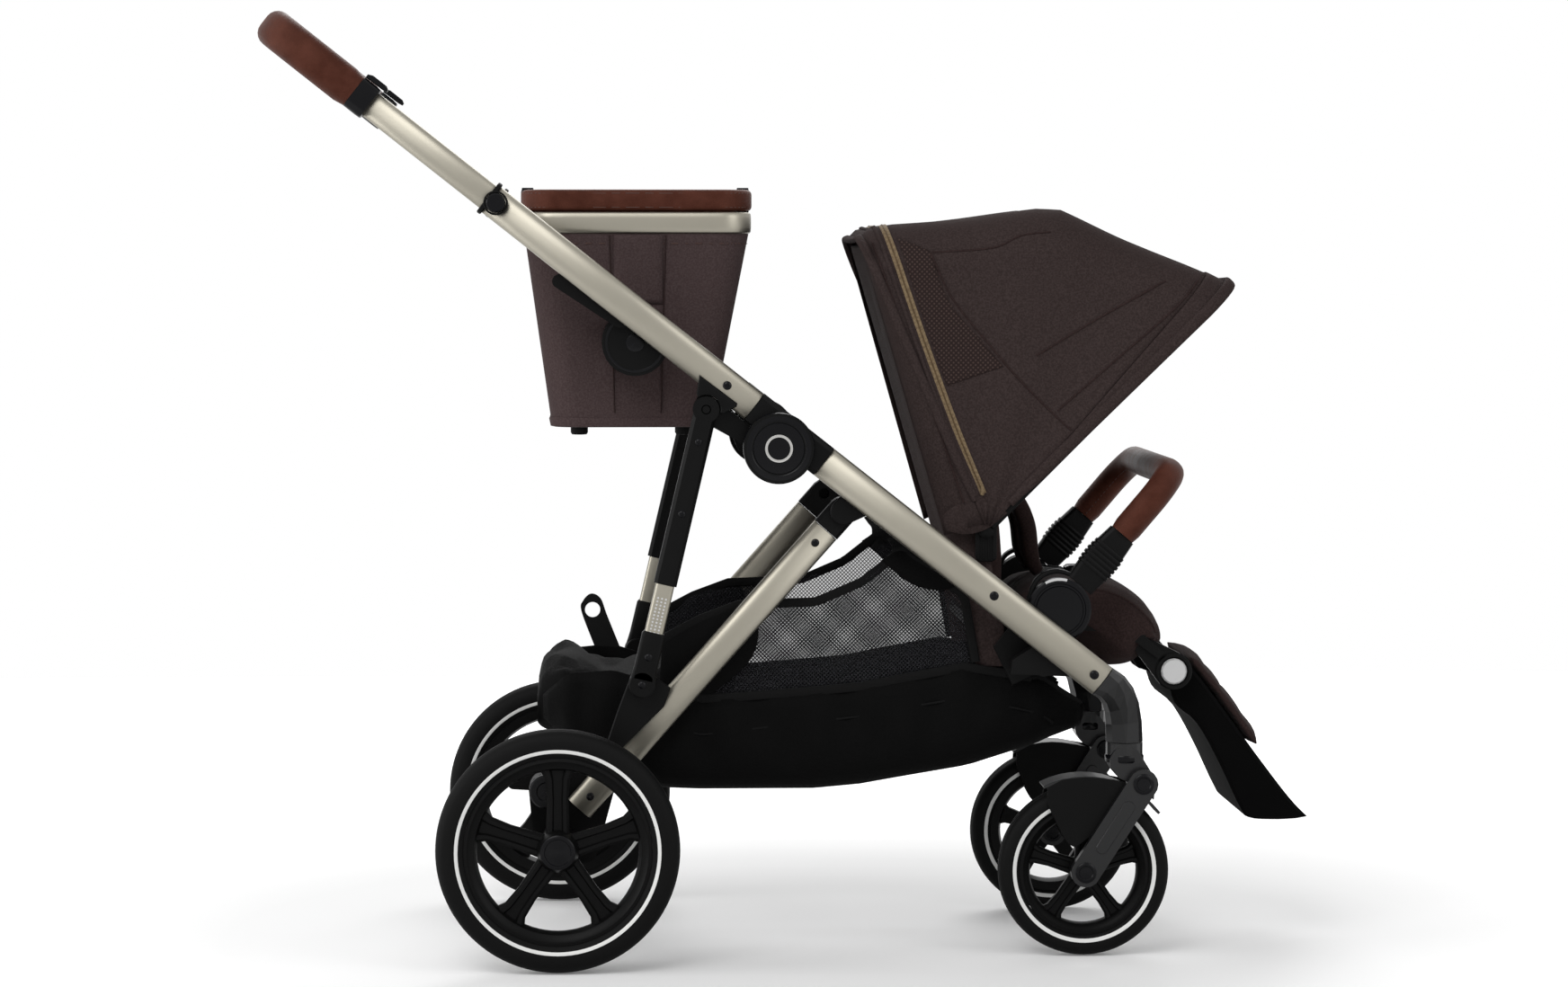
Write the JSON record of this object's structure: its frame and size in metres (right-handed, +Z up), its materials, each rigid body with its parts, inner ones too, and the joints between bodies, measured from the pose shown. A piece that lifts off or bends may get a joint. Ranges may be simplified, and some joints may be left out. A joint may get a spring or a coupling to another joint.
{
  "type": "pram",
  "caption": "Folding pushchair frame with a forward seat and hooded canopy, a box bag behind, a shopping basket below and swivelling front wheels.",
  "frame": {"origin": "on the floor, below the middle of the whole object's box", "axes": "+X forward, the way the child faces; +Z up; -Y is the side that the picture shows"},
  "size_m": [1.2786, 0.645, 1.1394],
  "materials": {
    "champagne_aluminium": "anodised satin",
    "black_plastic": "fine-grained moulding",
    "brown_leatherette": "grained, semi-matt",
    "brown_fabric": "woven",
    "black_fabric": "woven",
    "tyre_rubber": "matt",
    "silver_plastic": "satin"
  },
  "bodies": {
    "root": {"front_tube_right": "champagne_aluminium", "front_tube_left": "champagne_aluminium", "hinge_base_right": "black_plastic", "hinge_base_left": "black_plastic", "front_elbow_right": "black_plastic", "front_elbow_left": "black_plastic", "seat_mount_bar": "black_plastic", "shopping_basket": "black_fabric"},
    "upper_frame": {"upper_tube_right": "champagne_aluminium", "upper_tube_left": "champagne_aluminium", "hinge_arm_right": "black_plastic", "hinge_arm_left": "black_plastic", "bag_adapter_right": "black_plastic", "bag_adapter_left": "black_plastic"},
    "handle": {"handle_tube_right": "champagne_aluminium", "handle_tube_left": "champagne_aluminium", "handle_grip": "brown_leatherette"},
    "struts": {"strut_sleeve_right": "black_plastic", "strut_sleeve_left": "black_plastic", "strut_tube_right": "champagne_aluminium", "strut_tube_left": "champagne_aluminium"},
    "rear_frame": {"rear_leg_right": "champagne_aluminium", "rear_leg_left": "champagne_aluminium", "leg_cap_right": "black_plastic", "leg_cap_left": "black_plastic", "rear_axle_beam": "black_plastic"},
    "brake": {"brake_pedal": "black_plastic"},
    "seat": {"seat_frame": "black_plastic", "seat_cushion": "brown_fabric"},
    "backrest": {"backrest": "brown_fabric", "canopy": "brown_fabric"},
    "canopy_front": {"canopy_bow": "black_plastic"},
    "bumper_bar": {"bumper_arm_right": "black_plastic", "bumper_arm_left": "black_plastic", "bumper_grip": "brown_leatherette"},
    "legrest": {"legrest": "black_plastic", "legrest_pad": "brown_fabric"},
    "bag": {"bag_body": "brown_fabric", "bag_rim": "champagne_aluminium"},
    "height_button_right": {"height_button_right": "black_plastic"},
    "fold_trigger_right": {"fold_trigger_right": "black_plastic"},
    "rear_wheel_right": {"rear_tyre_right": "tyre_rubber", "rear_rim_right": "black_plastic"},
    "caster_right": {"fork_head_right": "black_plastic"},
    "fork_right": {"fork_arm_right": "black_plastic"},
    "front_wheel_right": {"front_tyre_right": "tyre_rubber", "front_rim_right": "black_plastic"},
    "legrest_button_right": {"legrest_button_right": "silver_plastic"},
    "bag_handle_right": {"bag_handle_right": "brown_leatherette"},
    "height_button_left": {"height_button_left": "black_plastic"},
    "fold_trigger_left": {"fold_trigger_left": "black_plastic"},
    "rear_wheel_left": {"rear_tyre_left": "tyre_rubber", "rear_rim_left": "black_plastic"},
    "caster_left": {"fork_head_left": "black_plastic"},
    "fork_left": {"fork_arm_left": "black_plastic"},
    "front_wheel_left": {"front_tyre_left": "tyre_rubber", "front_rim_left": "black_plastic"},
    "legrest_button_left": {"legrest_button_left": "silver_plastic"},
    "bag_handle_left": {"bag_handle_left": "brown_leatherette"}
  },
  "joints": [
    {"name": "frame_fold", "type": "hinge", "parent": "root", "child": "upper_frame", "pos_m": [-0.019, 0, 0.619], "axis": [0, -1, 0], "range_deg": [0, 45]},
    {"name": "rear_fold", "type": "hinge", "parent": "root", "child": "rear_frame", "pos_m": [0.06, 0, 0.541], "axis": [0, -1, 0], "range_deg": [0, 24.5]},
    {"name": "strut_fold", "type": "hinge", "parent": "upper_frame", "child": "struts", "pos_m": [-0.105, 0, 0.665], "axis": [0, -1, 0], "range_deg": [-26, 0]},
    {"name": "handle_slide", "type": "slide", "parent": "upper_frame", "child": "handle", "axis": [0.7848, 0, -0.6198], "range_m": [0, 0.12]},
    {"name": "height_button_press_right", "type": "slide", "parent": "upper_frame", "child": "height_button_right", "axis": [0, 1, 0], "range_m": [0, 0.003], "stiffness_N_per_m": 800, "springref_m": -0.002},
    {"name": "fold_trigger_slide_right", "type": "slide", "parent": "handle", "child": "fold_trigger_right", "axis": [0.7848, 0, -0.6198], "range_m": [0, 0.008], "stiffness_N_per_m": 400, "springref_m": -0.003},
    {"name": "rear_wheel_spin_right", "type": "hinge", "parent": "rear_frame", "child": "rear_wheel_right", "pos_m": [-0.2826, -0.3, 0.145], "axis": [0, 1, 0], "continuous": true},
    {"name": "caster_swivel_right", "type": "hinge", "parent": "root", "child": "caster_right", "pos_m": [0.4035, -0.19, 0.259], "axis": [0, 0, 1], "continuous": true},
    {"name": "suspension_right", "type": "hinge", "parent": "caster_right", "child": "fork_right", "pos_m": [0.423, -0.19, 0.211], "axis": [0, 1, 0], "range_deg": [0, 5], "stiffness_Nm_per_rad": 40, "springref_deg": -8.59},
    {"name": "front_wheel_spin_right", "type": "hinge", "parent": "fork_right", "child": "front_wheel_right", "pos_m": [0.3535, -0.19, 0.104], "axis": [0, 1, 0], "continuous": true},
    {"name": "legrest_button_press_right", "type": "slide", "parent": "seat", "child": "legrest_button_right", "axis": [0, 1, 0], "range_m": [0, 0.003], "stiffness_N_per_m": 800, "springref_m": -0.002},
    {"name": "bag_handle_swing_right", "type": "hinge", "parent": "bag", "child": "bag_handle_right", "pos_m": [-0.186, -0.0201, 0.9148], "axis": [-1, 0, 0], "range_deg": [0, 85]},
    {"name": "height_button_press_left", "type": "slide", "parent": "upper_frame", "child": "height_button_left", "axis": [0, -1, 0], "range_m": [0, 0.003], "stiffness_N_per_m": 800, "springref_m": -0.002},
    {"name": "fold_trigger_slide_left", "type": "slide", "parent": "handle", "child": "fold_trigger_left", "axis": [0.7848, 0, -0.6198], "range_m": [0, 0.008], "stiffness_N_per_m": 400, "springref_m": -0.003},
    {"name": "rear_wheel_spin_left", "type": "hinge", "parent": "rear_frame", "child": "rear_wheel_left", "pos_m": [-0.2826, 0.3, 0.145], "axis": [0, 1, 0], "continuous": true},
    {"name": "caster_swivel_left", "type": "hinge", "parent": "root", "child": "caster_left", "pos_m": [0.4035, 0.19, 0.259], "axis": [0, 0, 1], "continuous": true},
    {"name": "suspension_left", "type": "hinge", "parent": "caster_left", "child": "fork_left", "pos_m": [0.423, 0.19, 0.211], "axis": [0, 1, 0], "range_deg": [0, 5], "stiffness_Nm_per_rad": 40, "springref_deg": -8.59},
    {"name": "front_wheel_spin_left", "type": "hinge", "parent": "fork_left", "child": "front_wheel_left", "pos_m": [0.3535, 0.19, 0.104], "axis": [0, 1, 0], "continuous": true},
    {"name": "legrest_button_press_left", "type": "slide", "parent": "seat", "child": "legrest_button_left", "axis": [0, -1, 0], "range_m": [0, 0.003], "stiffness_N_per_m": 800, "springref_m": -0.002},
    {"name": "bag_handle_swing_left", "type": "hinge", "parent": "bag", "child": "bag_handle_left", "pos_m": [-0.186, 0.0201, 0.9148], "axis": [1, 0, 0], "range_deg": [0, 85]},
    {"name": "brake_press", "type": "hinge", "parent": "rear_frame", "child": "brake", "pos_m": [-0.297, 0, 0.203], "axis": [0, -1, 0], "range_deg": [0, 18]},
    {"name": "seat_release", "type": "slide", "parent": "root", "child": "seat", "axis": [0, 0, 1], "range_m": [0, 0.2]},
    {"name": "backrest_recline", "type": "hinge", "parent": "seat", "child": "backrest", "pos_m": [0.232, 0, 0.398], "axis": [0, -1, 0], "range_deg": [0, 12]},
    {"name": "canopy_fold", "type": "hinge", "parent": "backrest", "child": "canopy_front", "pos_m": [0.237, 0, 0.515], "axis": [0, -1, 0], "range_deg": [0, 55], "deforming": ["canopy"]},
    {"name": "bumper_release", "type": "slide", "parent": "seat", "child": "bumper_bar", "axis": [0.6494, 0, 0.7604], "range_m": [0, 0.06]},
    {"name": "legrest_fold", "type": "hinge", "parent": "seat", "child": "legrest", "pos_m": [0.47, 0, 0.34], "axis": [0, -1, 0], "range_deg": [0, 45]},
    {"name": "bag_release", "type": "slide", "parent": "upper_frame", "child": "bag", "axis": [0, 0, 1], "range_m": [0, 0.25]}
  ],
  "couplings": [
    {"joint": "rear_fold", "follows": "frame_fold", "ratio": 0.5387},
    {"joint": "strut_fold", "follows": "frame_fold", "ratio": -0.572}
  ]
}
